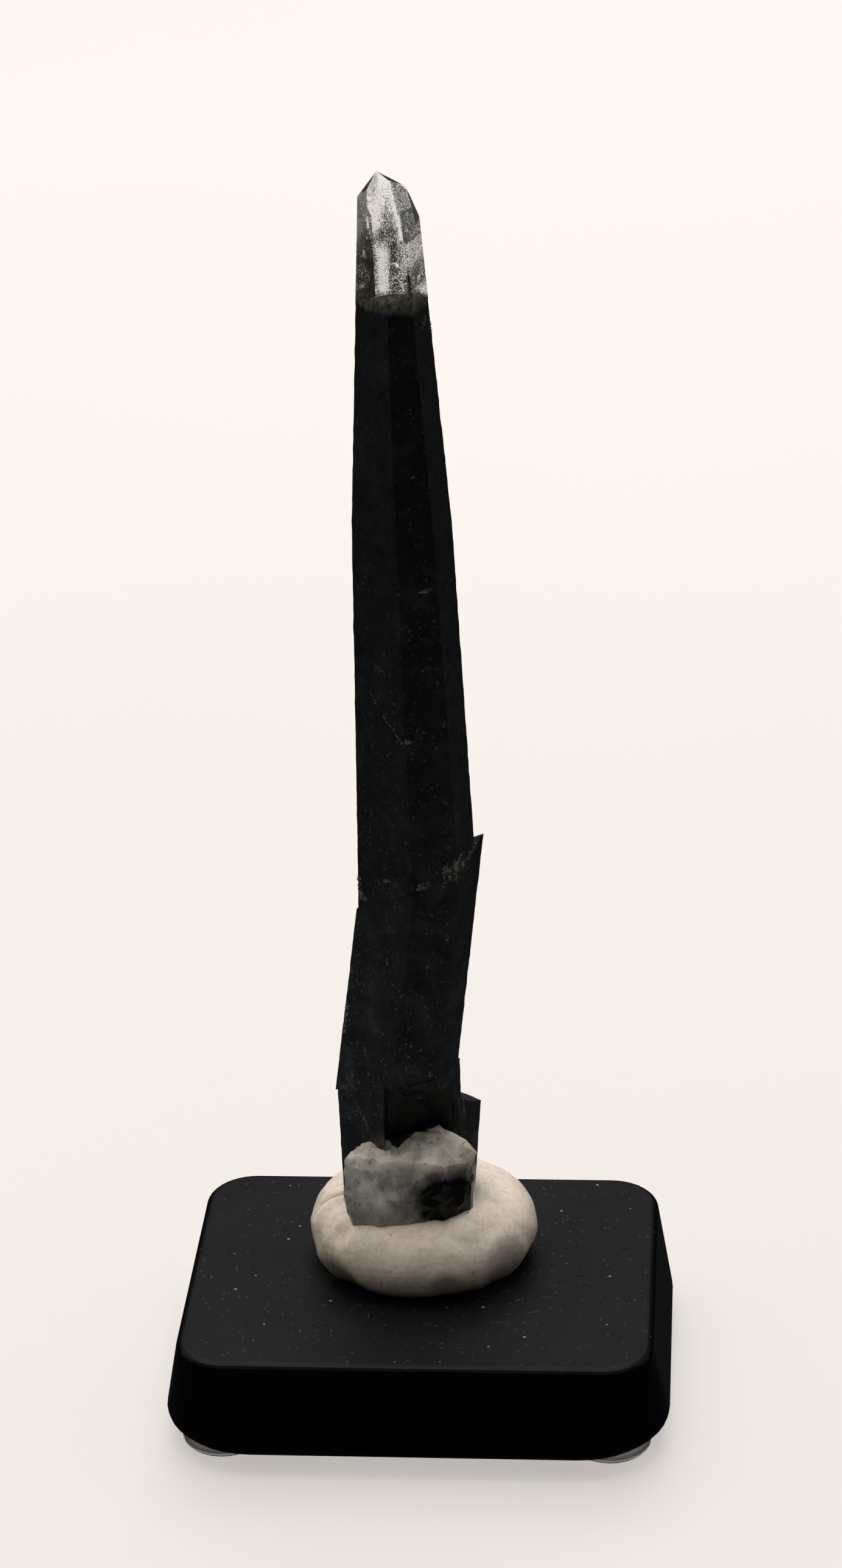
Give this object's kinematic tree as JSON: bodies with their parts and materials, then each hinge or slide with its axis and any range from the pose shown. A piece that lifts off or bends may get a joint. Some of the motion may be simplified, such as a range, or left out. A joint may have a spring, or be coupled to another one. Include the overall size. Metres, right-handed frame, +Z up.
{
  "type": "chlorite quartz specimen",
  "caption": "Tall dark green-black quartz crystal with a clear tip, kinked at healed breaks, pressed into a putty ring on a black display base with clear bumper feet.",
  "frame": {"origin": "on the surface it stands on, under the middle of the base", "axes": "+Z up along the crystal, +X along the base's long side, to the right seen from the front, +Y to the back"},
  "size_m": [0.049, 0.039, 0.1219],
  "materials": {
    "chlorite_quartz": "quartz crowded with dark green-black chlorite, with a clear tip and pale quartz at the foot",
    "putty": "off-white mineral putty, finger-rolled, matt",
    "base": "black acrylic with a dusty satin top and polished sides",
    "bumper": "soft clear rubber"
  },
  "bodies": {
    "root": {"chlorite_quartz": "chlorite_quartz", "putty_ring": "putty", "display_base": "base", "bumper_front_left": "bumper", "bumper_front_right": "bumper", "bumper_back_left": "bumper", "bumper_back_right": "bumper"}
  },
  "joints": []
}
